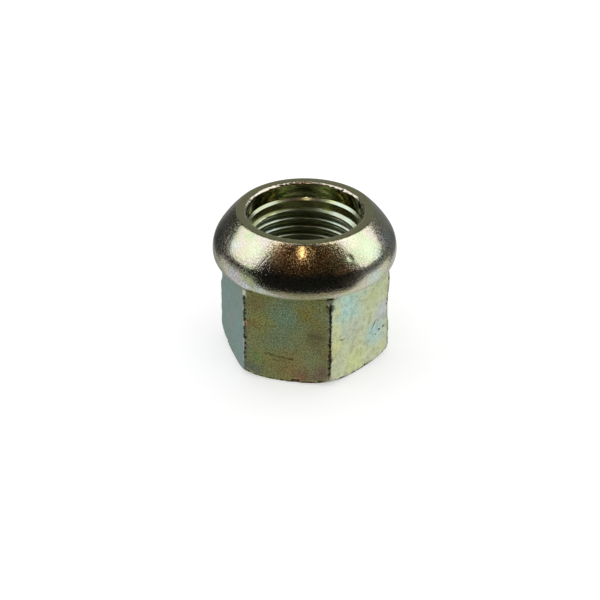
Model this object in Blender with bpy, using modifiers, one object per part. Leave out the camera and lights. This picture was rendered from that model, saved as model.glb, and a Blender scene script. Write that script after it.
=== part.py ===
"""Wheel lug nut with a ball seat collar, forged and machined from one piece of steel.

The nut stands on the end of its hexagon, with the seat up. The origin is the centre of that end,
+Z runs along the thread's axis towards the seat, and two corners of the hexagon point along X.
All lengths are in metres and all angles in degrees.
"""
import math

import bmesh
import bpy
from mathutils import Matrix

MM = 0.001

# Whole nut
HEIGHT = 24.5 * MM

# Hexagon
ACROSS_FLATS = 24.0 * MM
CORNER_ROUNDING = 0.35 * MM
CORNER_TOP_INSET = 0.32 * MM
CORNER_TOP_SLOPE = 10.0
BASE_EDGE_RADIUS = 3.4 * MM
BASE_EDGE_MARGIN = 0.7 * MM

# Bore, the plain hole of an M18 fine thread's minor diameter; the wall lies outside the thread
FLAT_WALL = 3.0 * MM
THREAD_PITCH = 1.5 * MM
COUNTERBORE_CLEARANCE = 0.15 * MM
COUNTERBORE_DEPTH = 2.6 * MM
SHOULDER_SLOPE = 42.0
PILOT_INSET = 0.4 * MM
PILOT_DEPTH = 4.15 * MM
PILOT_SLOPE = 60.0
MOUTH_CHAMFER = 0.3 * MM
COUNTERSINK_CLEARANCE = 0.2 * MM

# Collar with the ball seat
RING_WIDTH = 1.35 * MM
RING_EDGE_REACH = 0.35 * MM
COLLAR_OVERHANG = 0.65 * MM
SEAT_BULGE = 1.5 * MM
RIM_UPPER_RADIUS = 5.3 * MM
RIM_LOWER_RADIUS = 1.9 * MM
RIM_JOIN_ANGLE = -6.0
RIM_END_ANGLE = -80.0

# How finely the round shapes are divided
TURN_STEPS = 96
SEAT_STEPS = 8
ARC_STEPS = 6
EDGE_STEPS = 3

# Spare length that lets the Booleans cut and join cleanly
OVERCUT = 1.0 * MM
OVERLAP = 2.0 * MM

# Sizes that follow from those above
CORNER_RADIUS = ACROSS_FLATS / math.sqrt(3)
THREAD_DIAMETER = ACROSS_FLATS - 2 * FLAT_WALL
BORE_RADIUS = THREAD_DIAMETER / 2 - THREAD_PITCH * 5 / 16 * math.sqrt(3)
COUNTERBORE_RADIUS = THREAD_DIAMETER / 2 + COUNTERBORE_CLEARANCE
PILOT_RADIUS = COUNTERBORE_RADIUS - PILOT_INSET
COUNTERSINK_RADIUS = THREAD_DIAMETER / 2 + COUNTERSINK_CLEARANCE
MOUTH_RADIUS = COUNTERBORE_RADIUS + MOUTH_CHAMFER
RING_RADIUS = MOUTH_RADIUS + RING_WIDTH
COLLAR_RADIUS = CORNER_RADIUS + COLLAR_OVERHANG
SEAT_RADIUS = COLLAR_RADIUS + SEAT_BULGE


def clear_scene():
    for item in list(bpy.data.objects):
        bpy.data.objects.remove(item, do_unlink=True)


def new_collection(name):
    collection = bpy.data.collections.new(name)
    bpy.context.scene.collection.children.link(collection)
    return collection


def arc(centre, radius, start, end, steps):
    """Points of an arc in the profile plane; 0 points outwards and 90 up."""
    points = []
    for step in range(steps + 1):
        angle = math.radians(start + (end - start) * step / steps)
        points.append((centre[0] + radius * math.cos(angle), centre[1] + radius * math.sin(angle)))
    return points


def turned(name, profile, collection):
    """A solid of revolution about Z. Its profile runs down the outer side, from axis to axis."""
    mesh = bpy.data.meshes.new(name)
    points = [(radius, 0.0, height) for radius, height in profile]
    lines = [(start, start + 1) for start in range(len(points) - 1)]
    mesh.from_pydata(points, lines, [])
    solid = bpy.data.objects.new(name, mesh)
    collection.objects.link(solid)
    screw = solid.modifiers.new("Turn", "SCREW")
    screw.axis = "Z"
    screw.angle = math.tau
    screw.steps = TURN_STEPS
    screw.render_steps = TURN_STEPS
    screw.use_merge_vertices = True
    screw.merge_threshold = 0.001 * MM
    screw.use_smooth_shade = True
    return solid


def combine(solid, other, operation):
    """Join a solid with another, cut it by the other or trim it to the other."""
    boolean = solid.modifiers.new(other.name, "BOOLEAN")
    boolean.operation = operation
    boolean.solver = "EXACT"
    boolean.object = other
    other.hide_render = True
    other.display_type = "WIRE"


def rounded_ring_edge(seat_slope):
    """The edge between the flat ring and the seat, rounded into both."""
    radius = RING_EDGE_REACH / math.tan(math.radians(seat_slope) / 2)
    centre = (RING_RADIUS - RING_EDGE_REACH, HEIGHT - radius)
    return arc(centre, radius, 90.0, 90.0 - seat_slope, EDGE_STEPS)


def collar_profile():
    """Ring, ball seat and rolled rim, from the axis at the top to the axis under the collar."""
    seat_drop = math.sqrt(SEAT_RADIUS ** 2 - RING_RADIUS ** 2)
    seat_centre = (0.0, HEIGHT - seat_drop)
    ring_edge = rounded_ring_edge(math.degrees(math.atan2(RING_RADIUS, seat_drop)))
    seat_start = math.degrees(math.atan2(ring_edge[-1][1] - seat_centre[1], ring_edge[-1][0]))

    rim_reach = COLLAR_RADIUS - RIM_UPPER_RADIUS
    rim_rise = math.sqrt((SEAT_RADIUS - RIM_UPPER_RADIUS) ** 2 - rim_reach ** 2)
    upper_centre = (rim_reach, seat_centre[1] + rim_rise)
    seat_end = math.degrees(math.atan2(rim_rise, rim_reach))
    seat = arc(seat_centre, SEAT_RADIUS, seat_start, seat_end, SEAT_STEPS)
    upper_rim = arc(upper_centre, RIM_UPPER_RADIUS, seat_end, RIM_JOIN_ANGLE, ARC_STEPS)

    shift = RIM_UPPER_RADIUS - RIM_LOWER_RADIUS
    lower_centre = arc(upper_centre, shift, RIM_JOIN_ANGLE, RIM_END_ANGLE, 1)[0]
    lower_rim = arc(lower_centre, RIM_LOWER_RADIUS, RIM_JOIN_ANGLE, RIM_END_ANGLE, ARC_STEPS)

    outline = ring_edge[:-1] + seat + upper_rim[1:] + lower_rim[1:]
    return [(0.0, HEIGHT)] + outline + [(0.0, outline[-1][1])]


def envelope_profile(collar_end):
    """What turning leaves of the hexagon: sloped corner tops and a round edge at the base."""
    neck = CORNER_RADIUS - CORNER_TOP_INSET
    limit = CORNER_RADIUS + BASE_EDGE_MARGIN
    slope_drop = (limit - neck) / math.tan(math.radians(CORNER_TOP_SLOPE))
    base_centre = (limit - BASE_EDGE_RADIUS, BASE_EDGE_RADIUS)
    top = [
        (0.0, collar_end[1] + OVERLAP),
        (neck, collar_end[1] + OVERLAP),
        (neck, collar_end[1]),
        (limit, collar_end[1] - slope_drop),
    ]
    return top + arc(base_centre, BASE_EDGE_RADIUS, 0.0, -90.0, ARC_STEPS) + [(0.0, 0.0)]


def bore_profile():
    """The through hole: chamfered mouth, counterbore, a pilot step, the bore and a countersink."""
    counterbore_end = HEIGHT - COUNTERBORE_DEPTH
    pilot_end = HEIGHT - PILOT_DEPTH
    shoulder_depth = PILOT_INSET / math.tan(math.radians(SHOULDER_SLOPE))
    cone_depth = (PILOT_RADIUS - BORE_RADIUS) / math.tan(math.radians(PILOT_SLOPE))
    return [
        (0.0, HEIGHT + OVERCUT),
        (MOUTH_RADIUS + OVERCUT, HEIGHT + OVERCUT),
        (COUNTERBORE_RADIUS, HEIGHT - MOUTH_CHAMFER),
        (COUNTERBORE_RADIUS, counterbore_end),
        (PILOT_RADIUS, counterbore_end - shoulder_depth),
        (PILOT_RADIUS, pilot_end),
        (BORE_RADIUS, pilot_end - cone_depth),
        (BORE_RADIUS, COUNTERSINK_RADIUS - BORE_RADIUS),
        (COUNTERSINK_RADIUS + OVERCUT, -OVERCUT),
        (0.0, -OVERCUT),
    ]


def hexagon_bar(length, collection):
    """A hexagonal bar with lightly rounded corners that reaches a little below the base."""
    bar = bmesh.new()
    middle = Matrix.Translation((0.0, 0.0, (length - OVERCUT) / 2))
    bmesh.ops.create_cone(
        bar,
        cap_ends=True,
        segments=6,
        radius1=CORNER_RADIUS,
        radius2=CORNER_RADIUS,
        depth=length + OVERCUT,
        matrix=middle @ Matrix.Rotation(math.radians(90), 4, "Z"),
    )
    upright = [edge for edge in bar.edges if edge.verts[0].co.z * edge.verts[1].co.z < 0.0]
    bmesh.ops.bevel(
        bar,
        geom=upright,
        offset=CORNER_ROUNDING * math.tan(math.radians(30)),
        offset_type="OFFSET",
        segments=EDGE_STEPS,
        profile=0.5,
        affect="EDGES",
        material=-1,
    )
    mesh = bpy.data.meshes.new("hexagon_bar")
    bar.to_mesh(mesh)
    bar.free()
    solid = bpy.data.objects.new("hexagon_bar", mesh)
    collection.objects.link(solid)
    return solid


def yellow_zinc_plate():
    material = bpy.data.materials.new("yellow_zinc_plate")
    material.use_nodes = True
    shader = material.node_tree.nodes["Principled BSDF"]
    shader.inputs["Base Color"].default_value = (0.47, 0.46, 0.30, 1.0)
    shader.inputs["Metallic"].default_value = 1.0
    shader.inputs["Roughness"].default_value = 0.3
    return material


def lug_nut(parts, cutters):
    """The collar, joined with the trimmed hexagon and bored through."""
    profile = collar_profile()
    collar_end = profile[-2]
    nut = turned("lug_nut", profile, parts)
    hexagon = hexagon_bar(collar_end[1] + OVERLAP + OVERCUT, cutters)
    combine(hexagon, turned("hexagon_envelope", envelope_profile(collar_end), cutters), "INTERSECT")
    combine(nut, hexagon, "UNION")
    combine(nut, turned("bore_cutter", bore_profile(), cutters), "DIFFERENCE")
    nut.data.materials.append(yellow_zinc_plate())
    return nut


clear_scene()
lug_nut(new_collection("lug_nut"), new_collection("cutters"))
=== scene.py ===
# %% [markdown]
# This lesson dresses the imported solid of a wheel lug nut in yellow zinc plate. The solid stays the
# fixed frame that gives the height, the width and the place. What it leaves plain is made here:
# the helical thread, the soft forged edges, the small dents and the plating.

import math

import bmesh
import bpy
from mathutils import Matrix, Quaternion, Vector, noise


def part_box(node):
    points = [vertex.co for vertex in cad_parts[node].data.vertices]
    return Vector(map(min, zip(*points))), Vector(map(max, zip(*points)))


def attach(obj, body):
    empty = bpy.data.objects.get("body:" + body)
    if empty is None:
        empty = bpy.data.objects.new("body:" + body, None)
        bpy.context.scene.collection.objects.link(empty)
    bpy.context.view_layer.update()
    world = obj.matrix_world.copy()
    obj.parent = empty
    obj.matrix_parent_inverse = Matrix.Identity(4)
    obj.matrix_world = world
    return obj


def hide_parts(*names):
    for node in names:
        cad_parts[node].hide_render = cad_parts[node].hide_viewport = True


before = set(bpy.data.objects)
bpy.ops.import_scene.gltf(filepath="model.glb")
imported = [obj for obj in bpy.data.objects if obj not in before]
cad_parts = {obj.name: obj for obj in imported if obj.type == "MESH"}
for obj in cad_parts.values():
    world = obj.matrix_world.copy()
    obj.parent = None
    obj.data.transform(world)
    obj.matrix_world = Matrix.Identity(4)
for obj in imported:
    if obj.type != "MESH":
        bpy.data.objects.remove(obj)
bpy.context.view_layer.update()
MM = 0.001
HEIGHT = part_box("lug_nut")[1].z

# %% [markdown]
# The camera stands 300 mm from the middle of the nut's mouth and looks down on it. Its long lens
# keeps the upright edges nearly parallel, as in a product photo. It aims at a point below the nut,
# which puts the nut above the middle of the square picture.

# %% Camera
CAMERA_TURN = 12.8
CAMERA_RISE = 28.609
CAMERA_DISTANCE = 300 * MM
CAMERA_ROLL = 0.391
FOCAL_PIXELS = 1922.1
PICTURE_PIXELS = 600
SENSOR = 36.0
MOUTH_PIXEL = (304.9, 210.0)


def direction(turn, rise):
    """A direction from the nut: turn 0 is the front, turn 90 the right, rise 90 straight up."""
    turn, rise = math.radians(turn), math.radians(rise)
    return Vector((math.sin(turn) * math.cos(rise), -math.cos(turn) * math.cos(rise), math.sin(rise)))


camera_data = bpy.data.cameras.new("photo_camera")
camera = bpy.data.objects.new("photo_camera", camera_data)
bpy.context.scene.collection.objects.link(camera)
bpy.context.scene.camera = camera
camera_data.sensor_width = SENSOR
camera_data.lens = FOCAL_PIXELS / PICTURE_PIXELS * SENSOR
camera_data.clip_start = 0.01
camera_data.clip_end = 10.0
away = direction(CAMERA_TURN, CAMERA_RISE)
camera.location = Vector((0.0, 0.0, HEIGHT)) + CAMERA_DISTANCE * away
facing = (-away).to_track_quat("-Z", "Y")
roll = Quaternion((0.0, 0.0, 1.0), math.radians(CAMERA_ROLL))
half = PICTURE_PIXELS / 2
tilt = Quaternion((1.0, 0.0, 0.0), -math.atan((half - MOUTH_PIXEL[1]) / FOCAL_PIXELS))
swing = Quaternion((0.0, 1.0, 0.0), math.atan((MOUTH_PIXEL[0] - half) / FOCAL_PIXELS))
camera.rotation_mode = "QUATERNION"
camera.rotation_quaternion = facing @ roll @ tilt @ swing
bpy.context.scene.view_settings.view_transform = "Standard"
print("lens", round(camera_data.lens, 1), "mm")

# %% [markdown]
# A metal shows its surroundings more than a colour of its own, so the studio is built as patches of
# a dome: two big softboxes at the sides, a small warm lamp in front, and grey or dark cloth between
# them. Each patch is a grid bent onto the dome, and only reflections see it.

# %% A helper for the dome
DOME_RADIUS = 0.4
DOME_CENTRE = Vector((0.0, 0.0, HEIGHT * 0.7))


def piece_of(name, shape):
    """A new piece in the scene, made from a bmesh that is then given up."""
    mesh = bpy.data.meshes.new(name)
    shape.to_mesh(mesh)
    shape.free()
    piece = bpy.data.objects.new(name, mesh)
    bpy.context.scene.collection.objects.link(piece)
    return piece


def only_mirrored(piece):
    """Lets nothing but reflections see a piece."""
    piece.visible_camera = False
    piece.visible_shadow = False
    piece.visible_diffuse = False


def dome_patch(name, turns, rises, brightness, tint=(1.0, 1.0, 1.0), layer=0, top_turns=None):
    """Even light between two turns from the camera and two rises, in degrees.

    Its upper edge can lie between other turns, and a higher layer hides the ones behind it.
    """
    patch = bmesh.new()
    wide, high = turns[1] - turns[0], rises[1] - rises[0]
    across, up = max(2, int(wide / 5)), max(2, int(high / 5))
    bmesh.ops.create_grid(patch, x_segments=across, y_segments=up, size=0.5)
    foot, top = turns, top_turns or turns
    for point in patch.verts:
        right, above = point.co.x + 0.5, point.co.y + 0.5
        left_edge = foot[0] + (top[0] - foot[0]) * above
        right_edge = foot[1] + (top[1] - foot[1]) * above
        turn = CAMERA_TURN + left_edge + (right_edge - left_edge) * right
        point.co = DOME_CENTRE + (DOME_RADIUS - 0.02 * layer) * direction(turn, rises[0] + high * above)
    piece = piece_of(name, patch)
    material = bpy.data.materials.new(name)
    material.use_nodes = True
    nodes, links = material.node_tree.nodes, material.node_tree.links
    nodes.clear()
    glow = nodes.new("ShaderNodeEmission")
    glow.inputs["Color"].default_value = (*tint, 1.0)
    glow.inputs["Strength"].default_value = brightness
    links.new(glow.outputs[0], nodes.new("ShaderNodeOutputMaterial").inputs["Surface"])
    piece.data.materials.append(material)
    only_mirrored(piece)
    print("dome patch", name, "at brightness", brightness)


# %% [markdown]
# First comes the room itself, which every curved metal shows: rings of dim light from the ceiling
# down to the table. A painted sky could do the same, but rings can be tuned one by one. The rings
# below the horizon matter too, because the rim's underside and the flats look down at them.

# %% The room of the light tent
AMBER = (1.0, 0.62, 0.36)
CREAM = (1.0, 0.92, 0.74)
dome_patch("ceiling", (-180, 180), (72, 90), 0.12, CREAM)
dome_patch("upper_room", (-180, 180), (42, 72), 0.16, CREAM)
dome_patch("room", (-180, 180), (-22, 42), 0.06)
dome_patch("low_room", (-180, 180), (-48, -22), 0.34)
dome_patch("table", (-180, 180), (-66, -48), 0.66)
dome_patch("under_table", (-180, 180), (-90, -66), 0.5)

# %% [markdown]
# Two big softboxes make the broad shine at both ends of the collar. Area lamps would light the nut
# too, but their mirror images are plain rectangles. These patches lean over the back, so their
# images bend along the seat as the bright shapes in the photo do.

# %% The two softboxes
dome_patch("softbox_left", (-107, -68), (10, 75), 1.24, layer=2, top_turns=(-178, -46))
dome_patch("softbox_right", (75, 112), (9, 73), 1.3, layer=2, top_turns=(58, 176))

# %% [markdown]
# The middle of the seat is dark, because it mirrors a dark cloth in front of the nut. A small warm
# lamp above the cloth gives the one sharp glint, and amber glows beside it warm the change from dark
# to bright. The pale table and floor in front lighten the lower rim.

# %% The dark front and its lamp
dome_patch("front_cloth", (-62, 64), (-34, 32), 0.012, layer=1)
dome_patch("glow_by_left_box", (-66, -36), (36, 66), 0.14, AMBER, layer=2)
dome_patch("glow_by_right_box", (38, 66), (16, 58), 0.09, AMBER, layer=2)
dome_patch("front_glow", (-60, 62), (30, 54), 0.06, AMBER, layer=1)
dome_patch("front_glow_top", (-62, 62), (52, 74), 0.07, AMBER, layer=1)
dome_patch("front_table", (-52, 56), (-50, -34), 0.33, CREAM, layer=1)
dome_patch("front_floor", (-50, 50), (-90, -50), 0.42, CREAM, layer=1)
dome_patch("warm_lamp", (-7.5, -1.5), (48, 67), 4.2, (1.0, 0.76, 0.45), layer=3)

# %% [markdown]
# The lower half of the collar mirrors what lies beside the nut. Pale sheets with dark gaps over them
# give the light band on the rolled rim and the thin dark line over that band.

# %% The sheets beside the nut
dome_patch("left_gap", (-114, -62), (-12, 0), 0.24, layer=1)
dome_patch("left_gap_shade", (-98, -58), (-1, 11), 0.01, layer=3)
dome_patch("left_gap_shade_far", (-116, -98), (-6, 4), 0.06, layer=2)
dome_patch("left_sheet", (-128, -42), (-50, -12), 0.66, layer=1, top_turns=(-120, -62))
dome_patch("right_gap", (70, 124), (-14, -3), 0.2, layer=1)
dome_patch("right_gap_shade", (62, 96), (-4, 8), 0.06, layer=2)
dome_patch("right_gap_glow", (96, 124), (2, 9), 0.3, layer=2)
dome_patch("front_cloth_end", (44, 64), (-22, 2), 0.035, CREAM, layer=2)
dome_patch("right_sheet", (62, 126), (-50, -14), 0.8, layer=1, top_turns=(74, 122))
dome_patch("right_back_sheet", (130, 182), (-66, -24), 0.56, layer=1)
dome_patch("right_back_glow", (122, 158), (-24, 34), 0.17, layer=1)
dome_patch("right_floor", (86, 180), (-90, -60), 0.72, layer=1)
dome_patch("back_glow", (156, 204), (-24, 36), 0.22, layer=1)

# %% [markdown]
# The nut stands on a plain pale sheet of paper. The paper's own light is soft and grey, so a second
# shader adds a glow that only the camera sees: the sheet turns white, but the soft shadow around
# the nut stays. The metal mirrors the dome in place of this floor.

# %% Floor
FLOOR_SIZE = 2.0
PAPER = (0.8, 0.8, 0.8, 1.0)
PAPER_LIFT = (0.45, 0.45, 0.45, 1.0)

plane = bmesh.new()
bmesh.ops.create_grid(plane, x_segments=1, y_segments=1, size=FLOOR_SIZE)
floor = piece_of("floor", plane)
floor.visible_glossy = False

paper = bpy.data.materials.new("white_paper")
paper.use_nodes = True
floor.data.materials.append(paper)
nodes, links = paper.node_tree.nodes, paper.node_tree.links
nodes.clear()
matt = nodes.new("ShaderNodeBsdfDiffuse")
matt.inputs["Color"].default_value = PAPER
seen = nodes.new("ShaderNodeLightPath")
lift = nodes.new("ShaderNodeEmission")
both = nodes.new("ShaderNodeAddShader")
links.new(seen.outputs["Is Camera Ray"], lift.inputs["Strength"])
lift.inputs["Color"].default_value = PAPER_LIFT
links.new(matt.outputs[0], both.inputs[0])
links.new(lift.outputs[0], both.inputs[1])
links.new(both.outputs[0], nodes.new("ShaderNodeOutputMaterial").inputs["Surface"])
print("floor:", 2 * FLOOR_SIZE, "m wide")

# %% [markdown]
# The bore is open at both ends, so its thread would mirror the bright patches under the table. In
# the photo it is nearly black there. The floor under the bore lies in the nut's shade, and this dark
# disc is painted shade that stands in for that shaded floor. Only reflections see it.

# %% A dark disc of painted shade under the bore
SHADE_RADIUS = 11.0
SHADE_DROP = 0.05

disc = bmesh.new()
bmesh.ops.create_circle(disc, cap_ends=True, segments=48, radius=SHADE_RADIUS * MM)
bore_shade = piece_of("bore_shade", disc)
bore_shade.location = (0.0, 0.0, -SHADE_DROP * MM)
only_mirrored(bore_shade)
# A dark matt material: painted shade for the floor under the bore.
shade_material = bpy.data.materials.new("bore_shade")
shade_material.use_nodes = True
shade_shader = shade_material.node_tree.nodes["Principled BSDF"]
shade_shader.inputs["Base Color"].default_value = (0.05, 0.05, 0.04, 1.0)
shade_shader.inputs["Roughness"].default_value = 0.9
bore_shade.data.materials.append(shade_material)
print("dark disc:", 2 * SHADE_RADIUS, "mm wide")

# %% [markdown]
# The world is the white space behind everything, and it also lights the paper and the metal evenly
# from all sides. Its light is a little weaker than what is seen of it, so the background is pure
# white and the shadow under the nut keeps its depth.

# %% World
WORLD_LIGHT = 0.8

world = bpy.data.worlds.new("studio")
bpy.context.scene.world = world
world.use_nodes = True
nodes, links = world.node_tree.nodes, world.node_tree.links
seen = nodes.new("ShaderNodeLightPath")
view = seen.outputs["Is Camera Ray"]
for ray in ("Is Glossy Ray", "Is Transmission Ray"):
    either = nodes.new("ShaderNodeMath")
    either.operation = "MAXIMUM"
    links.new(view, either.inputs[0])
    links.new(seen.outputs[ray], either.inputs[1])
    view = either.outputs[0]
level = nodes.new("ShaderNodeMapRange")
level.inputs["To Min"].default_value = WORLD_LIGHT
level.inputs["To Max"].default_value = 1.0
links.new(view, level.inputs["Value"])
links.new(level.outputs[0], nodes["Background"].inputs["Strength"])
nodes["Background"].inputs["Color"].default_value = (1.0, 1.0, 1.0, 1.0)
print("world light:", WORLD_LIGHT)

# %% [markdown]
# The outside of the nut starts as one turned shape. A profile runs from the counterbore over the
# flat ring, the ball seat, the rolled rim and the long side to the countersink, and is spun a full
# turn. Turning gives even rows and columns, which the next step can push into a hexagon.

# %% Sizes of the outside, as heights and radii in millimetres
TOP = HEIGHT / MM
COLUMNS = 276
CORNERS = 6
ACROSS_FLATS = 24.0
CORNER_RADIUS = ACROSS_FLATS / math.sqrt(3)
CORNER_ROUNDING = 0.35
UNDERSIDE = TOP - 8.571
RING_EDGE_RADIUS = 0.892
SEAT_RADIUS = 16.006
UPPER_RIM_RADIUS = 5.3
LOWER_RIM_RADIUS = 1.9
COLLAR_FOOT_RADIUS = 12.7
NECK_RADIUS = CORNER_RADIUS - 0.32
SIDE_RADIUS = CORNER_RADIUS + 0.7
NECK_SLOPE = math.tan(math.radians(10.0))
BASE_EDGE_RADIUS = 3.4
BORE_RADIUS = 8.188
COUNTERBORE_RADIUS = 9.15
COUNTERBORE_DEPTH = 2.6
SHOULDER_SLOPE = math.radians(42.0)
PILOT_RADIUS = 8.75
PILOT_DEPTH = 4.15
THREAD_TOP = TOP - PILOT_DEPTH - 0.1
THREAD_BOTTOM = 0.18
COUNTERSINK_FOOT = BORE_RADIUS + 1.012
LIP_ROUNDING = 0.22
FOOT_ROUNDING = 0.12
print("across corners in mm:", round(2 * CORNER_RADIUS, 3))

# %% [markdown]
# Lathe work is made of arcs and straight runs, so two small helpers draw those. The collar's profile
# is the real one: a rounded ring edge, a ball seat that is part of a sphere, and a rim that rolls
# over in two arcs. A subdivided box could look alike, but it would never fit a wheel's seat.

# %% The outside profile
def arc(centre, radius, start, end, steps):
    """Points on an arc of the profile; 0 degrees points outwards and 90 up."""
    angles = [math.radians(start + (end - start) * step / steps) for step in range(steps + 1)]
    return [(centre[0] + radius * math.cos(a), centre[1] + radius * math.sin(a)) for a in angles]


def run(start, end, steps):
    """Points on a straight stretch of the profile, without the first one."""
    return [
        (start[0] + (end[0] - start[0]) * k / steps, start[1] + (end[1] - start[1]) * k / steps)
        for k in range(1, steps + 1)
    ]


mouth_drops = [(9.15, 0.38), (9.17, 0.28), (9.25, 0.17), (9.36, 0.07), (9.47, 0.01)]
mouth = [(radius, TOP - drop) for radius, drop in mouth_drops]
ring_edge = arc((10.45, TOP - RING_EDGE_RADIUS), RING_EDGE_RADIUS, 90.0, 47.6, 6)
seat = arc((0.0, TOP - 11.812), SEAT_RADIUS, 46.8, 30.8, 26)
upper_rim = arc((9.206, TOP - 6.336), UPPER_RIM_RADIUS, 30.7, -6.0, 14)
lower_rim = arc((12.587, TOP - 6.691), LOWER_RIM_RADIUS, -6.0, -80.0, 12)
base_centre = (SIDE_RADIUS - BASE_EDGE_RADIUS, BASE_EDGE_RADIUS)
base_edge = arc(base_centre, BASE_EDGE_RADIUS, 0.0, -90.0, 26)
shoulder_foot = TOP - COUNTERBORE_DEPTH
lip = shoulder_foot - (COUNTERBORE_RADIUS - PILOT_RADIUS) / math.tan(SHOULDER_SLOPE)
half_slope = math.tan(SHOULDER_SLOPE / 2)
lip_centre = (PILOT_RADIUS + LIP_ROUNDING, lip - LIP_ROUNDING * half_slope)
lip_edge = arc(lip_centre, LIP_ROUNDING, 180.0, 138.0, 5)
foot_centre = (COUNTERBORE_RADIUS - FOOT_ROUNDING, shoulder_foot + FOOT_ROUNDING * half_slope)
foot = arc(foot_centre, FOOT_ROUNDING, -42.0, 0.0, 4)
profile = [(PILOT_RADIUS, THREAD_TOP)]
profile += run(profile[-1], lip_edge[0], 4) + lip_edge[1:] + foot
profile += run(profile[-1], mouth[0], 5) + mouth[1:]
profile += run(profile[-1], ring_edge[0], 4) + ring_edge[1:]
profile += seat[1:] + upper_rim[1:] + lower_rim[1:]
profile += [(COLLAR_FOOT_RADIUS, UNDERSIDE)]
profile += run((SIDE_RADIUS, UNDERSIDE), (SIDE_RADIUS, UNDERSIDE - 1.8), 16)
profile += run(profile[-1], base_edge[0], 40) + base_edge[1:]
profile += run(profile[-1], (COUNTERSINK_FOOT, 0.0), 3)
profile += [(COUNTERSINK_FOOT - THREAD_BOTTOM, THREAD_BOTTOM)]
print("profile rows:", len(profile))

# %% [markdown]
# A spin around the nut's axis does the lathe's work. Its last column merges with the first, so the
# skin has no seam. The number of columns divides by six, which puts one on every corner.

# %% Spin the profile
nut = bmesh.new()
points = [nut.verts.new((radius * MM, 0.0, height * MM)) for radius, height in profile]
lines = [nut.edges.new(pair) for pair in zip(points, points[1:])]
bmesh.ops.spin(
    nut,
    geom=points + lines,
    cent=(0.0, 0.0, 0.0),
    axis=(0.0, 0.0, 1.0),
    angle=math.tau,
    steps=COLUMNS,
    use_merge=True,
)
print("faces after the spin:", len(nut.faces))

# %% [markdown]
# The long side is a hexagon whose corners were turned off at both ends. A Boolean of a hexagonal
# bar and a turned shape would give it, but with hard edges and untidy faces. Here two helpers say
# how far the flats and the turned shape reach, and the smaller of both numbers is the surface.

# %% How far the hexagon and the turned shape reach
COLUMN_PULL = 0.75


def from_nearest_corner(angle):
    """The angle between a direction and the nearest corner."""
    return abs((angle + math.pi / CORNERS) % (math.tau / CORNERS) - math.pi / CORNERS)


def blend_width(height):
    """How softly the turned edges run into the flats, in millimetres: wide near the base."""
    return 0.12 + 0.5 * min(1.0, max(0.0, (6.0 - height) / 4.0))


def pulled(angle):
    """The angle of a column after it moved towards the nearest corner."""
    return angle - COLUMN_PULL / CORNERS * math.sin(CORNERS * angle)


def hexagon_radius(angle):
    """How far the hexagon reaches in a direction. Its corners are rounded and one is at angle 0."""
    from_corner = from_nearest_corner(angle)
    touch = CORNER_ROUNDING * math.tan(math.radians(30))
    limit = math.atan2(touch * math.sin(math.radians(60)), CORNER_RADIUS - touch / 2)
    if from_corner > limit:
        return ACROSS_FLATS / 2 / math.cos(math.pi / 6 - from_corner)
    centre = CORNER_RADIUS - CORNER_ROUNDING / math.cos(math.radians(30))
    across = centre * math.sin(from_corner)
    return centre * math.cos(from_corner) + math.sqrt(CORNER_ROUNDING ** 2 - across ** 2)


def turned_radius(height):
    """What turning leaves of the corners: a slope under the collar and a round edge at the base."""
    if height < BASE_EDGE_RADIUS:
        drop = BASE_EDGE_RADIUS - height
        reach = math.sqrt(max(0.0, BASE_EDGE_RADIUS ** 2 - drop ** 2))
        return SIDE_RADIUS - BASE_EDGE_RADIUS + reach
    return min(SIDE_RADIUS, NECK_RADIUS + (UNDERSIDE - height) * NECK_SLOPE)


def soft_min(first, second, width):
    """The smaller of two numbers, with a rounded change from one to the other."""
    overlap = max(width - abs(first - second), 0.0) / width
    return min(first, second) - overlap * overlap * width / 4


print("radius at a corner and at a flat:", hexagon_radius(0.0), hexagon_radius(math.pi / CORNERS))

# %% [markdown]
# Now the side is pressed into its form. Each column first moves towards the nearest corner, so that
# most columns are where the surface bends most. Then each point takes its new radius, and the turned
# edges run softly into the flats, as forged and tumbled edges do.

# %% Press the side into a hexagon
for point in nut.verts:
    radius, height = math.hypot(point.co.x, point.co.y) / MM, point.co.z / MM
    angle = pulled(math.atan2(point.co.y, point.co.x))
    if height < UNDERSIDE + 0.01 and radius > 12.8:
        radius = soft_min(turned_radius(height), hexagon_radius(angle), blend_width(height))
    elif UNDERSIDE < height < UNDERSIDE + 0.2 and radius > 12.6:
        radius = max(radius, soft_min(NECK_RADIUS, hexagon_radius(angle), blend_width(height)))
    elif height < 1.0 and radius > SIDE_RADIUS - BASE_EDGE_RADIUS:
        radius = soft_min(turned_radius(height), hexagon_radius(angle), blend_width(height))
    point.co = (radius * MM * math.cos(angle), radius * MM * math.sin(angle), height * MM)
print("width in mm:", 2 * max(point.co.x for point in nut.verts) / MM)

# %% [markdown]
# Forging and handling leave marks. The flats are slightly wavy, the corners are chipped in small
# bites, and a few knocks are deeper. Sculpting could add them, but code puts each knock exactly
# where the photo shows it. Points of the side only move inwards, so the nut keeps its outer size.

# %% Knocks in the corners
def bite(place, centre, reach, depth):
    """How far a knock pushes a point in; it fades out at its reach. All in millimetres."""
    gap = (Vector(place) - Vector(centre)).length
    return depth * max(0.0, 1.0 - (gap / reach) ** 2)


KNOCKS = [
    ((6.93, -12.0, 14.5), 0.8, 0.3),
    ((-6.93, -12.0, 14.7), 0.5, 0.14),
    ((-6.93, -12.0, 9.8), 0.6, 0.15),
    ((6.93, -12.0, 5.2), 0.6, 0.2),
    ((13.86, 0.0, 9.0), 3.4, 0.24),
    ((1.4, -12.0, 0.4), 0.7, 0.12),
    ((11.2, -4.7, 0.6), 0.5, 0.25),
    ((-12.2, -2.8, 0.8), 0.6, 0.2),
    ((0.0, 13.86, 8.0), 2.0, 0.1),
    ((-13.86, 0.0, 11.0), 1.2, 0.2),
]
print("knocks:", len(KNOCKS), "the deepest", max(depth for _, _, depth in KNOCKS), "mm")

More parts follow.
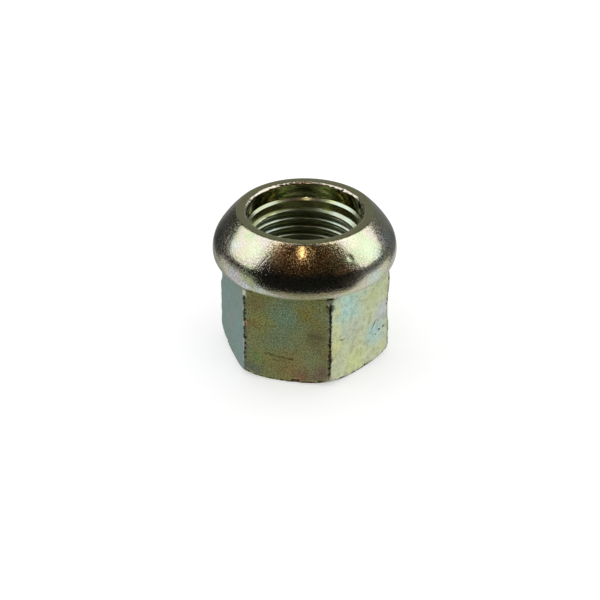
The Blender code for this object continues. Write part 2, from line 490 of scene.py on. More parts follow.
# %% [markdown]
# Slow noise makes the flats wavy, and faster noise bites only into the corners. The edge of the
# mouth is uneven too, so the bright line around the hole wobbles as in the photo.

# %% Wear of the outside
INNERMOST_SIDE = 11.0
WAVE_DEPTH = 0.03
BITE_DEPTH = 0.1
BITE_REACH = 0.5
MOUTH_WOBBLE = 0.09
other_noise = Vector((9.0, 0.0, 0.0))

for point in nut.verts:
    place = point.co / MM
    radius = math.hypot(place.x, place.y)
    if place.z < UNDERSIDE - 0.05 and radius > INNERMOST_SIDE:
        angle = math.atan2(place.y, place.x)
        from_corner = CORNER_RADIUS * math.sin(from_nearest_corner(angle))
        at_corner = max(0.0, 1.0 - from_corner / BITE_REACH)
        press = WAVE_DEPTH * (1.0 + noise.noise(place * 0.35))
        press += at_corner * BITE_DEPTH * max(0.0, noise.noise(place * 1.2 + other_noise))
        press += sum(bite(place, *knock) for knock in KNOCKS)
        inwards = Vector((-math.cos(angle), -math.sin(angle), 0.0))
        point.co += inwards * press * MM
    elif place.z > TOP - 0.3 and COUNTERBORE_RADIUS + 0.01 < radius < 9.45:
        wobble = MOUTH_WOBBLE * noise.noise(place * 2.3)
        point.co += Vector((place.x, place.y, -radius)) / radius * wobble * MM
print("points of the outside:", len(nut.verts))

# %% [markdown]
# A thread is a groove that climbs as it turns. A bump map of rings would look right only from afar,
# so the groove is real form here. Its cross-section has a flat crest, two slopes of 60 degrees to
# each other and a round root, and it starts where the photo shows the first crest.

# %% Sizes of the thread in millimetres
PITCH = 1.5
FIRST_CREST_DEPTH = 3.22
RUN_OUT_SLOPE = math.tan(math.radians(74.0))
CREST_AT_START = TOP - FIRST_CREST_DEPTH - PITCH * (90.0 + CAMERA_TURN) / 360.0
CREST_TO_ROOT = [
    (0.0, 8.188), (0.12, 8.188), (0.175, 8.205), (0.225, 8.26), (0.43, 8.608), (0.62, 8.93),
    (0.75, 9.0),
    (0.88, 8.93), (1.07, 8.608), (1.275, 8.26), (1.325, 8.205), (1.38, 8.188),
]


def bored_radius(height):
    """The hole that the thread is cut in: the pilot's end, the bore and the countersink."""
    run_out = PILOT_RADIUS - (THREAD_TOP - height) * RUN_OUT_SLOPE
    return max(BORE_RADIUS, run_out, COUNTERSINK_FOOT - height)


print("pitch in mm:", PITCH, "turns:", round((THREAD_TOP - THREAD_BOTTOM) / PITCH, 1))

# %% [markdown]
# The cross-section is repeated up a line, and the line is spun one turn while it rises one pitch, so
# that the end meets the start one groove higher. The pilot hole and the countersink then cut the
# thread's first and last turns, as a drill does. All columns stand under those of the outside.

# %% Spin the thread
thread = bmesh.new()
first_turn = math.floor((THREAD_BOTTOM - CREST_AT_START) / PITCH) - 1
last_turn = math.ceil((THREAD_TOP - CREST_AT_START) / PITCH) + 1
points = [
    thread.verts.new((radius * MM, 0.0, (CREST_AT_START + turn * PITCH + rise) * MM))
    for turn in range(first_turn, last_turn)
    for rise, radius in CREST_TO_ROOT
]
lines = [thread.edges.new(pair) for pair in zip(points, points[1:])]
bmesh.ops.spin(
    thread,
    geom=points + lines,
    cent=(0.0, 0.0, 0.0),
    axis=(0.0, 0.0, 1.0),
    dvec=(0.0, 0.0, PITCH * MM / COLUMNS),
    angle=math.tau,
    steps=COLUMNS,
    use_merge=False,
)
for point in thread.verts:
    radius, height = math.hypot(point.co.x, point.co.y) / MM, point.co.z / MM
    angle = math.atan2(point.co.y, point.co.x)
    height += PITCH * (pulled(angle) - angle) / math.tau
    angle = pulled(angle)
    height = min(max(height, THREAD_BOTTOM), THREAD_TOP)
    radius = max(radius, bored_radius(height))
    if height in (THREAD_BOTTOM, THREAD_TOP):
        radius = bored_radius(height)
    point.co = (radius * MM * math.cos(angle), radius * MM * math.sin(angle), height * MM)
thread_mesh = bpy.data.meshes.new("thread")
thread.to_mesh(thread_mesh)
print("faces of the thread:", len(thread.faces))
thread.free()

# %% [markdown]
# The nut is one piece of steel, so its skin has to be closed. The two skins share their rows of
# points at both ends of the thread, and merging those rows joins them without a Boolean. A closed
# mesh has exactly two faces at each edge, which the print checks.

# %% Join both skins into one closed piece
nut.from_mesh(thread_mesh)
bmesh.ops.remove_doubles(nut, verts=nut.verts, dist=0.002 * MM)
bmesh.ops.recalc_face_normals(nut, faces=nut.faces)
open_edges = [edge for edge in nut.edges if len(edge.link_faces) != 2]
print("faces", len(nut.faces), "open or doubled edges", len(open_edges))
print("volume in mm3:", nut.calc_volume() / MM ** 3)
forging = piece_of("nut_forging", nut)
forging_mesh = forging.data
bpy.data.meshes.remove(thread_mesh)
forging_mesh.shade_smooth()
forging_mesh.set_sharp_from_angle(angle=math.radians(50))

# %% [markdown]
# The plating is worn and dark along the corners and where the flats meet the rounded base. The
# shader has to know how far each point is from those edges. A painted mask would need a picture,
# so the distances are stored on the mesh as attributes instead.

# %% Distances to the edges
FAR_FROM_EDGES = 99.0


def base_edge_height(angle):
    """Where the turned base edge cuts the flats, in millimetres above the base."""
    reach = hexagon_radius(angle) - (SIDE_RADIUS - BASE_EDGE_RADIUS)
    return BASE_EDGE_RADIUS - math.sqrt(max(0.0, BASE_EDGE_RADIUS ** 2 - reach ** 2))


corner_distance = forging_mesh.attributes.new("corner_distance", "FLOAT", "POINT")
above_base_edge = forging_mesh.attributes.new("above_base_edge", "FLOAT", "POINT")
for index, vertex in enumerate(forging_mesh.vertices):
    height = vertex.co.z / MM
    angle = math.atan2(vertex.co.y, vertex.co.x)
    to_corner, above_edge = FAR_FROM_EDGES, FAR_FROM_EDGES
    if height < UNDERSIDE and math.hypot(vertex.co.x, vertex.co.y) / MM > INNERMOST_SIDE:
        fading_top = max(0.0, height - UNDERSIDE + 0.7)
        to_corner = CORNER_RADIUS * math.sin(from_nearest_corner(angle)) + fading_top
        above_edge = height - base_edge_height(angle)
    corner_distance.data[index].value = to_corner
    above_base_edge.data[index].value = above_edge
print("distances stored on", len(forging_mesh.vertices), "points")

# %% [markdown]
# Materials are built from nodes, and a rich finish needs a few hundred of them. Wired one by one
# they would hide the recipe, so these helpers add a node, feed a number or another node into a
# socket, do one sum, make one soft step, or lay one colour over another.

# %% Helpers that add and join nodes
def add(kind, **settings):
    """A new node in the tree at hand, with some of its settings changed."""
    node = tree.nodes.new("ShaderNode" + kind)
    for name, value in settings.items():
        setattr(node, name, value)
    return node


def feed(socket, source):
    """Links a node's output to a socket, or writes a plain value into it."""
    if isinstance(source, bpy.types.NodeSocket):
        tree.links.new(source, socket)
    else:
        socket.default_value = source


def work_out(operation, first, second=0.0):
    """One sum of the Math node."""
    sum_node = add("Math", operation=operation)
    feed(sum_node.inputs[0], first)
    feed(sum_node.inputs[1], second)
    return sum_node.outputs[0]


def times(first, second):
    """Two values multiplied."""
    return work_out("MULTIPLY", first, second)


def apart(first, second):
    """How far two values differ, without a sign."""
    return work_out("ABSOLUTE", work_out("SUBTRACT", first, second))


def rise(value, start, end, low=0.0, high=1.0):
    """Goes smoothly from low to high while the value goes from start to end."""
    step = add("MapRange", interpolation_type="SMOOTHSTEP")
    feed(step.inputs["Value"], value)
    step.inputs["From Min"].default_value = start
    step.inputs["From Max"].default_value = end
    step.inputs["To Min"].default_value = low
    step.inputs["To Max"].default_value = high
    return step.outputs[0]


def tinted(amount, under, over):
    """One colour over another by an amount from 0 to 1."""
    mix = add("Mix", data_type="RGBA")
    feed(mix.inputs[0], amount)
    feed(mix.inputs[6], under)
    feed(mix.inputs[7], over)
    return mix.outputs[2]

# %% [markdown]
# A mark has to stay at its place on the nut, from wherever it is seen. So each mask starts from the
# object's own coordinates: how far a point lies along a direction, how far it is from the axis, or
# whether it is near a spot or near a line. Unwrapping would do too, but this needs no seams.

# %% Helpers that find a place on the nut
def towards(place, direction):
    """How far the place lies along a unit direction."""
    part = add("VectorMath", operation="DOT_PRODUCT")
    feed(part.inputs[0], place)
    part.inputs[1].default_value = direction
    return part.outputs["Value"]


def off_axis(place):
    """The distance from the thread's axis."""
    flat = add("VectorMath", operation="MULTIPLY")
    feed(flat.inputs[0], place)
    flat.inputs[1].default_value = (1.0, 1.0, 0.0)
    gap = add("VectorMath", operation="LENGTH")
    feed(gap.inputs[0], flat.outputs[0])
    return gap.outputs["Value"]


def near(place, centre, radius, core=0.3):
    """1 close to a point given in millimetres, and 0 beyond the radius."""
    gap = add("VectorMath", operation="DISTANCE")
    feed(gap.inputs[0], place)
    gap.inputs[1].default_value = [value * MM for value in centre]
    return rise(gap.outputs["Value"], radius * core * MM, radius * MM, 1.0, 0.0)


def stroke(place, start, end, width):
    """1 along a line between two points given in millimetres, and 0 beyond its half width."""
    start, end = Vector(start) * MM, Vector(end) * MM
    along = end - start
    gap = add("VectorMath", operation="SUBTRACT")
    feed(gap.inputs[0], place)
    gap.inputs[1].default_value = start
    part = add("VectorMath", operation="DOT_PRODUCT")
    feed(part.inputs[0], gap.outputs[0])
    part.inputs[1].default_value = along / along.length_squared
    held = add("Clamp")
    feed(held.inputs["Value"], part.outputs["Value"])
    back = add("VectorMath", operation="SCALE")
    back.inputs[0].default_value = along
    feed(back.inputs["Scale"], held.outputs[0])
    across = add("VectorMath", operation="DISTANCE")
    feed(across.inputs[0], gap.outputs[0])
    feed(across.inputs[1], back.outputs[0])
    return rise(across.outputs["Value"], 0.0, width * MM, 1.0, 0.0)


# %% [markdown]
# Grit, stains and plating never have even edges. Noise gives the grain, and the same noise can also
# push the coordinates about, so that soft round patches turn into uneven ones.

# %% Helpers for patterns
def grain(place, size, detail=2.0):
    """Noise from 0 to 1 whose marks are about this size in millimetres."""
    texture = add("TexNoise")
    feed(texture.inputs["Vector"], place)
    texture.inputs["Scale"].default_value = 1 / (size * MM)
    texture.inputs["Detail"].default_value = detail
    return texture.outputs[0]


def wandering(place, size, reach):
    """The place, pushed about by noise, so that patches get uneven edges."""
    texture = add("TexNoise")
    feed(texture.inputs["Vector"], place)
    texture.inputs["Scale"].default_value = 1 / (size * MM)
    texture.inputs["Detail"].default_value = 5.0
    push = add("VectorMath", operation="MULTIPLY_ADD")
    feed(push.inputs[0], texture.outputs[1])
    push.inputs[1].default_value = [reach * 2 * MM] * 3
    push.inputs[2].default_value = [-reach * MM] * 3
    moved = add("VectorMath", operation="ADD")
    feed(moved.inputs[0], place)
    feed(moved.inputs[1], push.outputs[0])
    return moved.outputs[0]


def patches(place, colour, spots):
    """Soft patches of other tints: each is a centre and a radius in millimetres, a tint, a strength."""
    for centre, radius, tint, strength in spots:
        amount = times(near(place, centre, radius, 0.0), strength)
        colour = tinted(amount, colour, (*tint, 1.0))
    return colour


# %% [markdown]
# All three finishes are metals with a little relief. Real points for a grain of a fifth of a
# millimetre would be too many, so a bump bends the reflections as such a grain would.

# %% Helpers that start a metal and give it relief
def finish(name, roughness_base):
    """Starts a metal, whose node tree is then the one at hand: material, shader, coordinates."""
    global tree
    material = bpy.data.materials.new(name)
    material.use_nodes = True
    tree = material.node_tree
    shader = tree.nodes["Principled BSDF"]
    shader.inputs["Metallic"].default_value = 1.0
    shader.inputs["Roughness"].default_value = roughness_base
    return material, shader, add("TexCoord").outputs["Object"]


def bumped(shader, height, depth):
    """Lets a pattern from 0 to 1 stand proud by a depth in millimetres."""
    relief = add("Bump")
    relief.inputs["Strength"].default_value = 1.0
    relief.inputs["Distance"].default_value = depth * MM
    feed(relief.inputs["Height"], height)
    tree.links.new(relief.outputs[0], shader.inputs["Normal"])


# %% [markdown]
# Yellow zinc plating is a thin clear film, and its colour changes with its thickness as on an oily
# puddle: straw, green, lilac, rose and gold. Blender can work out a real thin film, but its tints
# can't be chosen one by one. So slow noise stands for the thickness, and a ramp turns it into tints.

# %% The plating's tints
STRAW = (0.71, 0.71, 0.49)
LEAF = (0.56, 0.70, 0.38)
MINT = (0.56, 0.78, 0.62)
LILAC = (0.70, 0.62, 0.76)
ROSE = (0.75, 0.69, 0.60)
GOLD = (0.76, 0.60, 0.30)
OLIVE = (0.50, 0.54, 0.22)


def film(place, size, tints):
    """Tints that follow each other as slow noise of this size rises."""
    ramp = add("ValToRGB")
    points = ramp.color_ramp.elements
    for number, tint in enumerate(tints):
        position = 0.3 + 0.4 * number / (len(tints) - 1)
        point = points[number] if number < 2 else points.new(position)
        point.position = position
        point.color = (*tint, 1.0)
    feed(ramp.inputs[0], grain(place, size, 3.0))
    return ramp.outputs[0]


print("tints of the film:", STRAW, LEAF, MINT, LILAC, ROSE, GOLD, OLIVE)

# %% [markdown]
# The collar and its seat were turned and then plated, so they are smooth and mirror the softboxes.
# One tint would look painted: the real film drifts from straw to green and rose. Slow noise gives
# that drift, and soft patches put the stronger tints where the photo shows them.

# %% Tints of the seat
turned_plate, shader, place = finish("turned_seat_plate", 0.2)
uneven = wandering(place, 2.0, 0.8)
PALE_LEAF = (0.62, 0.72, 0.48)
PALE_MINT = (0.62, 0.72, 0.56)
colour = film(uneven, 6.0, [STRAW, PALE_LEAF, STRAW, ROSE, STRAW, PALE_MINT])
colour = patches(uneven, colour, [
    ((-3.9, -10.4, 24.2), 3.0, (0.84, 0.68, 0.74), 0.5),
    ((-5.2, -11.2, 22.9), 2.2, (0.74, 0.86, 0.58), 0.7),
    ((-7.2, -10.9, 21.9), 1.5, (0.84, 0.74, 0.62), 0.4),
    ((-9.0, -9.3, 22.1), 1.8, (0.70, 0.84, 0.80), 0.6),
    ((11.6, -5.8, 22.1), 3.0, (0.70, 0.86, 0.60), 0.7),
    ((8.7, -7.0, 24.1), 2.4, (0.86, 0.84, 0.66), 0.7),
    ((12.9, -4.7, 20.8), 1.8, (0.62, 0.82, 0.76), 0.6),
    ((2.0, -12.5, 22.5), 5.5, (0.88, 0.66, 0.42), 0.8),
    ((-1.0, -11.8, 23.4), 2.6, (0.92, 0.68, 0.38), 0.9),
    ((6.0, -10.2, 23.5), 2.8, (0.90, 0.72, 0.38), 0.8),
    ((-8.6, -11.6, 18.0), 2.6, (0.74, 0.72, 0.90), 0.7),
    ((-4.9, -13.5, 18.6), 2.2, (0.50, 0.56, 0.30), 0.7),
    ((12.7, -7.0, 18.0), 3.0, (0.66, 0.80, 0.74), 0.7),
    ((3.0, -14.2, 17.5), 3.6, (0.58, 0.63, 0.44), 0.8),
    ((-1.2, -14.4, 17.6), 2.2, (0.66, 0.74, 0.62), 0.7),
    ((-6.4, -13.0, 17.4), 1.7, (0.80, 0.86, 0.94), 0.9),
    ((-6.4, -13.0, 18.8), 1.2, (0.50, 0.60, 0.32), 0.9),
    ((-3.7, -14.0, 17.4), 1.8, (0.72, 0.82, 0.80), 0.8),
    ((-12.4, -5.4, 21.6), 2.8, (0.36, 0.41, 0.40), 0.8),
    ((13.6, -0.6, 21.4), 3.4, (0.60, 0.70, 0.74), 0.8),
    ((13.4, 1.6, 20.6), 1.6, (0.26, 0.32, 0.28), 0.8),
])
height = towards(place, (0.0, 0.0, 1.0))
on_ring = rise(height, (TOP - 0.06) * MM, (TOP - 0.005) * MM)
colour = tinted(on_ring, colour, (0.61, 0.62, 0.34, 1.0))
in_mouth = rise(off_axis(place), 9.45 * MM, 9.55 * MM, 1.0, 0.0)
colour = tinted(in_mouth, colour, (0.80, 0.74, 0.62, 1.0))
print("tints of the seat:", len(tree.nodes), "nodes")

# %% [markdown]
# The seat has been pressed against a wheel and knocked about, so its skin isn't equally sandy all
# round. The grain is strong in the middle and at both ends, and weak low on the rim, at the lamp's
# glint and on the side that the photo doesn't show. Each mask here is a number from 0 to 1 that
# says how much grain a place gets.

# %% Where the seat is sandy
GLINT = (1.9, -11.4, 23.7)
front_part = towards(place, direction(13.0, 0.0))
facing_front = work_out("DIVIDE", front_part, off_axis(place))
rougher = rise(apart(facing_front, 0.67), 0.16, 0.27)
rougher = times(rougher, rise(height, 18.6 * MM, 20.0 * MM, 0.25, 1.0))
at_glint = near(place, GLINT, 1.4)
rougher = times(rougher, rise(at_glint, 0.0, 1.0, 1.0, 0.4))
worn_side = rise(facing_front, -0.2, 0.5, 0.15, 1.0)
rougher = times(rougher, worn_side)
sandy = times(rougher, rise(on_ring, 0.0, 1.0, 0.66, 0.1))
sandy = work_out("ADD", sandy, 0.12)
left = towards(place, (-1.0, 0.0, 0.0))
sideways = work_out("ABSOLUTE", left)
low_part = rise(height, 20.9 * MM, 21.5 * MM, 1.0, 0.0)
low_grit = times(rise(left, 2.0 * MM, 5.0 * MM, 0.22, 0.4), low_part)
low_grit = times(low_grit, worn_side)
end_grit = times(rise(sideways, 12.2 * MM, 13.4 * MM, 0.0, 0.9), worn_side)
end_grit = times(end_grit, rise(height, 19.6 * MM, 20.8 * MM, 0.1, 1.0))
sandy = work_out("MAXIMUM", sandy, work_out("MAXIMUM", low_grit, end_grit))
print("masks of the seat:", len(tree.nodes), "nodes")

# %% [markdown]
# Three kinds of small marks break up the mirror: dark specks where the grain has lost its plating,
# pale specks at the left end that are painted glints of the grain, and one scratch whose pale colour
# is partly a painted highlight. They go into the base colour, because a bump alone would blur away at
# this size.

# %% Specks, painted glints and a scratch with a painted highlight on the seat
specks = rise(grain(place, 0.24, 2.0), 0.42, 0.62)
colour = tinted(times(specks, sandy), colour, (0.10, 0.07, 0.04, 1.0))
# Painted glints: pale specks at the left end stand in for light caught by the grain.
painted_glints = rise(grain(place, 0.27, 2.0), 0.53, 0.64)
painted_glints = times(painted_glints, rise(left, 10.2 * MM, 11.8 * MM, 0.0, 0.8))
colour = tinted(painted_glints, colour, (0.90, 0.92, 0.86, 1.0))
# A real scratch, pressed in by the bump below; its pale colour is partly a painted highlight.
scratch_and_highlight = stroke(place, (-3.72, -12.8, 21.5), (-2.6, -12.15, 22.8), 0.12)
colour = tinted(scratch_and_highlight, colour, (0.92, 0.90, 0.76, 1.0))
feed(shader.inputs["Base Color"], colour)
print("marks of the seat:", len(tree.nodes), "nodes")

# %% [markdown]
# The last part of this finish is how the seat shines. Fine noise stands proud as sand, the scratch
# and one dent are pressed in, and the surface is calmer around the lamp's glint, so that the glint
# stays one clear streak.

# %% Relief and gloss of the seat
SAND_HEIGHT = 0.009
sand = rise(grain(place, 0.17, 1.0), 0.42, 0.72)
dent = near(place, (9.13, -9.07, 22.19), 0.75, 0.1)
calm = near(place, GLINT, 2.6, 0.2)
left_wear = rise(left, 9.0 * MM, 11.5 * MM, 1.0, 1.5)
relief = work_out("SUBTRACT", times(sand, left_wear), times(scratch_and_highlight, 6.0))
relief = times(relief, rise(calm, 0.0, 1.0, 1.0, 0.3))
relief = work_out("SUBTRACT", relief, times(dent, 5.0))
bumped(shader, relief, SAND_HEIGHT)
gloss = rise(grain(place, 0.3), 0.4, 0.7, 0.05, 0.13)
feed(shader.inputs["Roughness"], work_out("ADD", gloss, times(calm, 0.06)))
print("finish of the seat:", len(tree.nodes), "nodes")

# %% [markdown]
# The hexagon keeps its forged skin, so it is duller and more mottled than the seat. Each flat has its
# own tint, partly the plating's colour and partly painted light for how brightly that flat is lit and
# what it mirrors. A mask picks a flat by its direction: the farther a point lies along the flat's
# direction, the more it belongs to that flat.

# %% A tint for each flat, partly painted light
forged_plate, shader, place = finish("forged_side_plate", 0.5)
shader.inputs["Metallic"].default_value = 0.85
uneven = wandering(place, 2.4, 1.9)
colour = film(uneven, 8.0, [OLIVE, LEAF, STRAW, MINT, LILAC, STRAW])
FLAT_TINTS_AND_LIGHT = {
    -90: (0.88, 0.98, 0.34),
    -30: (0.92, 1.00, 0.64),
    30: (0.58, 0.72, 0.42),
    90: (0.66, 0.62, 0.34),
    150: (0.52, 0.66, 0.58),
    210: (0.36, 0.62, 0.64),
}
# Each tint is partly plating colour and partly painted light: how bright that flat's light and
# reflections are.
for angle, tint in FLAT_TINTS_AND_LIGHT.items():
    face = (math.cos(math.radians(angle)), math.sin(math.radians(angle)), 0.0)
    on_flat = rise(towards(place, face), 11.3 * MM, 11.85 * MM, 0.0, 0.85)
    colour = tinted(on_flat, colour, (*tint, 1.0))
frontwards = towards(place, (0.0, -1.0, 0.0))
front_tints = rise(frontwards, 11.7 * MM, 11.9 * MM, 0.18, 0.34)
small_tints = film(uneven, 2.2, [GOLD, LEAF, STRAW, MINT, LILAC])
colour = tinted(front_tints, colour, small_tints)
print("tints of the flats:", len(FLAT_TINTS_AND_LIGHT))

# %% [markdown]
# On top come the larger stains of the two flats that the photo shows best: mint and gold on the
# front one, blue and yellow-green on the right one. Each is a soft ball of colour in space, and the
# surface shows where it cuts the ball. The pushed coordinates make its edge uneven.

# %% Stains on the flats
colour = patches(uneven, colour, [
    ((-0.4, -12.0, 11.5), 5.0, (0.60, 0.94, 0.68), 1.0),
    ((-1.0, -12.0, 7.6), 4.0, (0.60, 0.84, 0.58), 0.8),
    ((-5.0, -12.0, 14.2), 2.6, (0.68, 0.52, 0.22), 0.7),
    ((-4.6, -12.0, 10.6), 3.2, (0.90, 0.94, 0.32), 0.9),
    ((-5.6, -12.0, 10.0), 1.8, (0.72, 0.42, 0.20), 0.7),
    ((3.6, -12.0, 12.6), 3.2, (0.78, 0.70, 0.16), 0.9),
    ((4.6, -12.0, 8.4), 3.2, (0.50, 0.44, 0.26), 0.8),
    ((0.4, -12.0, 3.0), 4.4, (0.84, 0.66, 0.28), 0.9),
    ((2.4, -12.0, 1.2), 2.6, (0.78, 0.40, 0.30), 0.9),
    ((-3.0, -12.0, 2.6), 2.6, (0.82, 0.76, 0.30), 0.6),
    ((-4.9, -12.0, 4.2), 1.7, (0.54, 0.84, 0.34), 0.8),
    ((5.6, -12.0, 2.2), 2.6, (0.58, 0.36, 0.36), 0.9),
    ((6.3, -12.0, 6.0), 2.4, (0.62, 0.48, 0.26), 0.7),
    ((-5.7, -12.0, 1.8), 2.6, (0.46, 0.56, 0.50), 1.0),
    ((8.8, -8.8, 13.0), 6.4, (0.70, 1.0, 0.90), 1.0),
    ((12.0, -3.3, 12.6), 2.6, (0.76, 0.84, 0.44), 0.8),
    ((7.5, -11.0, 13.6), 2.0, (0.94, 0.98, 0.54), 0.9),
    ((7.5, -11.0, 10.0), 2.2, (0.94, 0.96, 0.50), 0.9),
    ((7.0, -11.8, 0.9), 1.5, (0.66, 0.67, 0.70), 1.0),
    ((9.6, -7.4, 8.6), 3.4, (0.76, 0.82, 0.66), 0.8),
    ((13.2, -1.1, 8.8), 3.4, (0.76, 0.80, 0.94), 0.7),
    ((12.1, -3.0, 5.4), 3.6, (0.64, 0.94, 0.92), 0.9),
    ((7.4, -11.2, 7.0), 3.0, (0.92, 0.96, 0.44), 0.9),
    ((9.8, -7.0, 2.6), 4.4, (0.90, 0.98, 0.48), 0.9),
    ((-11.1, -4.8, 5.6), 1.8, (0.72, 0.62, 0.62), 0.7),
    ((-12.0, -3.2, 13.0), 1.8, (0.66, 0.60, 0.62), 0.5),
])
print("stains:", len(tree.nodes), "nodes")

# %% [markdown]
# A spanner has left soft dark strokes, and the forged skin is mottled and pitted. The pits are small
# spots of fine noise, and the front flat has most of them.

# %% Strokes, mottling and pits
shaky = wandering(place, 0.7, 0.4)
for start, end, width, strength in [
    ((-5.5, -12.0, 9.9), (-4.4, -12.0, 9.3), 0.22, 0.5),
    ((-3.5, -12.0, 5.0), (-1.4, -12.0, 4.6), 0.28, 0.7),
    ((-1.2, -12.0, 4.6), (0.9, -12.0, 4.4), 0.26, 0.9),
    ((-2.7, -12.0, 4.0), (-0.5, -12.0, 3.9), 0.2, 0.45),
    ((3.3, -12.0, 9.4), (5.5, -12.0, 9.0), 0.5, 0.35),
    ((8.1, -9.95, 7.9), (8.6, -9.1, 7.6), 0.28, 1.0),
    ((8.9, -8.6, 7.3), (9.5, -7.55, 7.8), 0.16, 0.4),
]:
    mark = times(stroke(shaky, start, end, width), strength)
    colour = tinted(mark, colour, (0.07, 0.06, 0.04, 1.0))
mottle = grain(place, 0.9, 4.0)
colour = tinted(rise(mottle, 0.5, 0.72, 0.0, 0.2), colour, (0.26, 0.25, 0.16, 1.0))
sand = grain(place, 0.2, 2.0)
front = rise(frontwards, 11.7 * MM, 11.9 * MM, 0.4, 1.0)
pits = times(rise(sand, 0.38, 0.64, 0.0, 0.7), front)
colour = tinted(pits, colour, (0.21, 0.22, 0.08, 1.0))
print("strokes, mottling and pits:", len(tree.nodes), "nodes")

# %% [markdown]
# Along the corners the colour is darkened to a near black line. The stored
# distance to the corner gives the line, and noise of half a millimetre is added to it, which beads
# the line and frays it. At the front's left foot the line is paler, and at its right foot it nearly
# fades out.

# %% Dark corners
CORNER_DARK = (0.09, 0.065, 0.05, 1.0)
edge = add("Attribute", attribute_name="corner_distance").outputs["Fac"]
right_corner = (math.cos(math.radians(-60)), math.sin(math.radians(-60)), 0.0)
smoother = rise(towards(place, right_corner), 13.2 * MM, 13.5 * MM, 1.0, 0.7)
beads = rise(grain(place, 0.45, 3.0), 0.3, 0.7, -0.22, 0.24)
ragged = work_out("ADD", edge, times(beads, smoother))
on_edge = rise(ragged, 0.14, 0.28, 1.0, 0.0)
left_foot = near(place, (-6.93, -12.0, 1.6), 2.6, 0.5)
left_foot_spared = work_out("SUBTRACT", 1.0, times(left_foot, 0.55))
on_edge = times(on_edge, left_foot_spared)
right_foot = near(place, (6.93, -12.0, 0.8), 1.9, 0.5)
right_foot_spared = rise(right_foot, 0.0, 1.0, 1.0, 0.1)
on_edge = times(on_edge, right_foot_spared)
colour = tinted(on_edge, colour, CORNER_DARK)
print("dark corners:", len(tree.nodes), "nodes")

# %% [markdown]
# Some marks are single hits: bare steel shines on the front's left corner and at the tops of both
# front corners, and small black nicks lie on the right flat and at the foot. Their black is painted
# shade in these small hollows, also in the knocked notches at the tops of both front corners, and
# the cream fleck at the top of the left corner is a bare chip with a painted glint. Each is a short
# line with a width and a tint.

# %% Nicks, with painted shade and a painted glint
BARE = (0.74, 0.68, 0.58, 1.0)
NICK_SHADE = (0.03, 0.025, 0.02, 1.0)
for start, end, width, tint in [
    ((-7.08, -11.75, 13.0), (-7.08, -11.75, 12.4), 0.36, BARE),
    ((-7.08, -11.75, 10.0), (-7.08, -11.75, 9.6), 0.34, BARE),
    ((-7.08, -11.75, 7.0), (-7.08, -11.75, 5.0), 0.34, BARE),
    ((-7.08, -11.75, 3.9), (-7.08, -11.75, 3.0), 0.3, BARE),
    # Painted glint: a bare chip whose cream colour stands in for the light it catches.
    ((-7.0, -11.8, 15.9), (-6.9, -11.9, 15.2), 0.62, (0.98, 0.94, 0.72, 1.0)),
    # Painted shade in the knock at the top of the left corner.
    ((-6.93, -11.95, 14.75), (-6.8, -11.95, 14.6), 0.42, NICK_SHADE),
    ((6.5, -12.0, 15.5), (6.8, -12.0, 15.4), 0.4, BARE),
    # Painted shade in the knocked V-notch at the top of the right corner.
    ((6.35, -12.0, 14.75), (6.85, -11.9, 14.2), 0.46, NICK_SHADE),
    ((7.05, -11.6, 14.75), (6.85, -11.9, 14.2), 0.42, NICK_SHADE),
    ((6.9, -12.0, 0.9), (7.3, -11.2, 0.6), 0.5, BARE),
    ((11.75, -3.65, 6.4), (12.35, -2.6, 7.9), 0.12, NICK_SHADE),
    ((13.1, -1.3, 5.8), (13.2, -1.1, 5.85), 0.22, NICK_SHADE),
    ((12.6, -2.1, 5.7), (12.7, -1.9, 5.7), 0.24, NICK_SHADE),
    ((12.2, -2.8, 5.1), (12.3, -2.7, 5.1), 0.16, NICK_SHADE),
    ((0.9, -12.0, 0.6), (1.9, -12.0, 0.65), 0.3, NICK_SHADE),
    ((5.1, -12.0, 0.9), (5.8, -12.0, 1.0), 0.26, NICK_SHADE),
]:
    nick = times(stroke(place, start, end, width), 1.4)
    held = add("Clamp")
    feed(held.inputs["Value"], nick)
    colour = tinted(held.outputs[0], colour, tint)
print("nicks:", len(tree.nodes), "nodes")

# %% [markdown]
# The flats end in a dark line of painted shade, just above the edge where the turned base begins.
# The second stored distance gives it, frayed by noise like the corners. After it the colour is
# complete.
# The skin is dull, a little more so where it is mottled, and its relief is coarser than the seat's.

# %% The painted shade at the foot, gloss and relief of the flats
FOOT_LINE_HEIGHT = 0.14
SKIN_HEIGHT = 0.012
foot = add("Attribute", attribute_name="above_base_edge").outputs["Fac"]
foot = apart(foot, FOOT_LINE_HEIGHT)
frayed = rise(grain(place, 0.5, 3.0), 0.35, 0.65, -0.1, 0.16)
foot = work_out("ADD", foot, frayed)
# Painted shade: a dark line where the flats meet the base, as a contact shadow.
foot_shade = times(rise(foot, 0.1, 0.26, 0.95, 0.0), right_foot_spared)
colour = tinted(foot_shade, colour, (0.09, 0.06, 0.04, 1.0))
feed(shader.inputs["Base Color"], colour)
feed(shader.inputs["Roughness"], rise(mottle, 0.3, 0.7, 0.36, 0.5))
skin = work_out("ADD", times(mottle, 1.6), sand)
bumped(shader, skin, SKIN_HEIGHT)
print("finish of the flats:", len(tree.nodes), "nodes")

# %% [markdown]
# The counterbore and the pilot step were bored, so they are smooth and mirror each other in bright
# bands. Their plating is thin and yellow-green, and light that bounces from wall to wall takes on
# more of that tint each time. Masks pick the wall and the step by their radius and height.

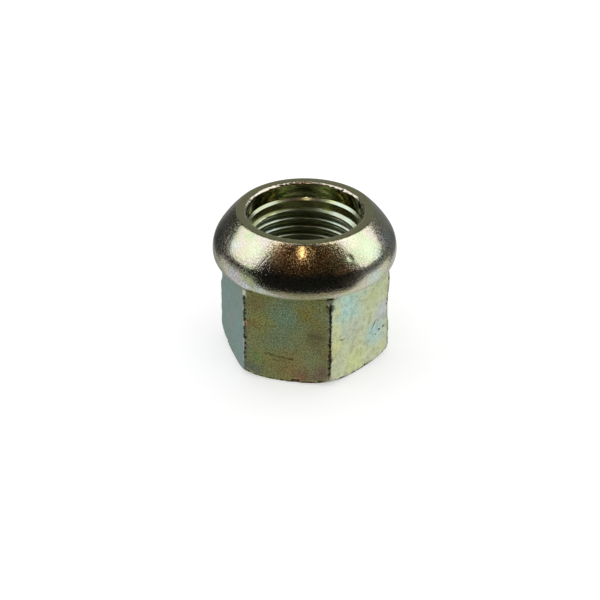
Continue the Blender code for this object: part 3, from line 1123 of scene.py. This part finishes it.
# %% Tints of the counterbore
BORE_TINTS = [(0.54, 0.60, 0.44), (0.60, 0.66, 0.52), (0.60, 0.72, 0.62), (0.58, 0.60, 0.44)]
thread_plate, shader, place = finish("cut_thread_plate", 0.1)
uneven = wandering(place, 2.0, 0.8)
colour = film(uneven, 5.0, BORE_TINTS)
gap = off_axis(place)
on_wall = rise(gap, (COUNTERBORE_RADIUS - 0.1) * MM, (COUNTERBORE_RADIUS - 0.02) * MM)
colour = tinted(on_wall, colour, (0.51, 0.51, 0.24, 1.0))
height = towards(place, (0.0, 0.0, 1.0))
on_pilot = rise(apart(gap, PILOT_RADIUS * MM), 0.01 * MM, 0.04 * MM, 1.0, 0.0)
above_thread = rise(height, THREAD_TOP * MM, (THREAD_TOP + 0.04) * MM)
on_pilot = times(on_pilot, above_thread)
colour = tinted(on_pilot, colour, (0.46, 0.44, 0.20, 1.0))
colour = patches(uneven, colour, [
    ((-5.6, 7.2, 22.9), 2.2, (0.90, 1.00, 0.34), 0.9),
    ((2.2, 8.9, 23.2), 2.6, (0.90, 1.00, 0.34), 0.9),
    ((1.8, 8.5, 20.7), 1.1, (0.90, 1.00, 0.34), 0.9),
    ((-9.0, 1.4, 23.4), 2.6, (0.20, 0.22, 0.16), 1.0),
    ((7.3, 5.5, 23.1), 2.8, (0.20, 0.21, 0.14), 1.0),
])
print("tints of the counterbore:", len(tree.nodes), "nodes")

# %% [markdown]
# The thread was tapped. Its colour is darkened as painted shade deeper down the bore and in the root
# of the first turn, and as a painted dark reflection in the middle of the back wall. All are fixed
# places on the nut, so the shading stays put when the view changes.

# %% Painted shade and a painted dark reflection in the thread, and the bore's gloss
BACK_WALL_TURN = 192.8
CUT_HEIGHT = 0.004
# Painted reflection: the middle of the back wall, opposite the camera, is darkened as if it mirrored
# the dark front.
backwards = work_out("DIVIDE", towards(place, direction(BACK_WALL_TURN, 0.0)), gap)
on_thread = rise(height, (THREAD_TOP - 0.01) * MM, (THREAD_TOP + 0.03) * MM, 1.0, 0.0)
painted_dark_back_wall = times(rise(backwards, 0.8, 0.92, 0.0, 0.85), on_thread)
colour = tinted(painted_dark_back_wall, colour, (0.22, 0.24, 0.14, 1.0))
# Painted shade: the thread gets darker the deeper it lies in the bore.
deep_shade = rise(height, 12.0 * MM, 20.0 * MM, 0.6, 0.0)
colour = tinted(deep_shade, colour, (0.30, 0.30, 0.22, 1.0))
# Painted shade in the root of the first turn, under the pilot step.
root_shade = rise(gap, 8.3 * MM, 8.9 * MM)
under_pilot = rise(height, (THREAD_TOP - 0.45) * MM, (THREAD_TOP - 0.2) * MM, 1.0, 0.0)
colour = tinted(times(root_shade, under_pilot), colour, (0.34, 0.40, 0.26, 1.0))
feed(shader.inputs["Base Color"], colour)
feed(shader.inputs["Roughness"], rise(on_wall, 0.0, 1.0, 0.25, 0.06))
bumped(shader, grain(place, 0.25), CUT_HEIGHT)
print("finish of the bore:", len(tree.nodes), "nodes")

# %% [markdown]
# One mesh can carry several materials, and each face has the number of one. The radius and the
# height of a face tell whether it was bored, forged or turned, so no face has to be picked by hand.

# %% Give each face its finish
SEAT, SIDE, BORE = range(3)
for material in (turned_plate, forged_plate, thread_plate):
    forging_mesh.materials.append(material)
for face in forging_mesh.polygons:
    radius, height = math.hypot(face.center.x, face.center.y) / MM, face.center.z / MM
    if radius < COUNTERBORE_RADIUS + 0.02:
        face.material_index = BORE
    elif height < UNDERSIDE + 0.01:
        face.material_index = SIDE
used = [face.material_index for face in forging_mesh.polygons]
print("faces of seat, side and bore:", [used.count(slot) for slot in (SEAT, SIDE, BORE)])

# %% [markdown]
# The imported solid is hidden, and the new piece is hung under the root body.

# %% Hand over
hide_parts("lug_nut")
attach(forging, "root")
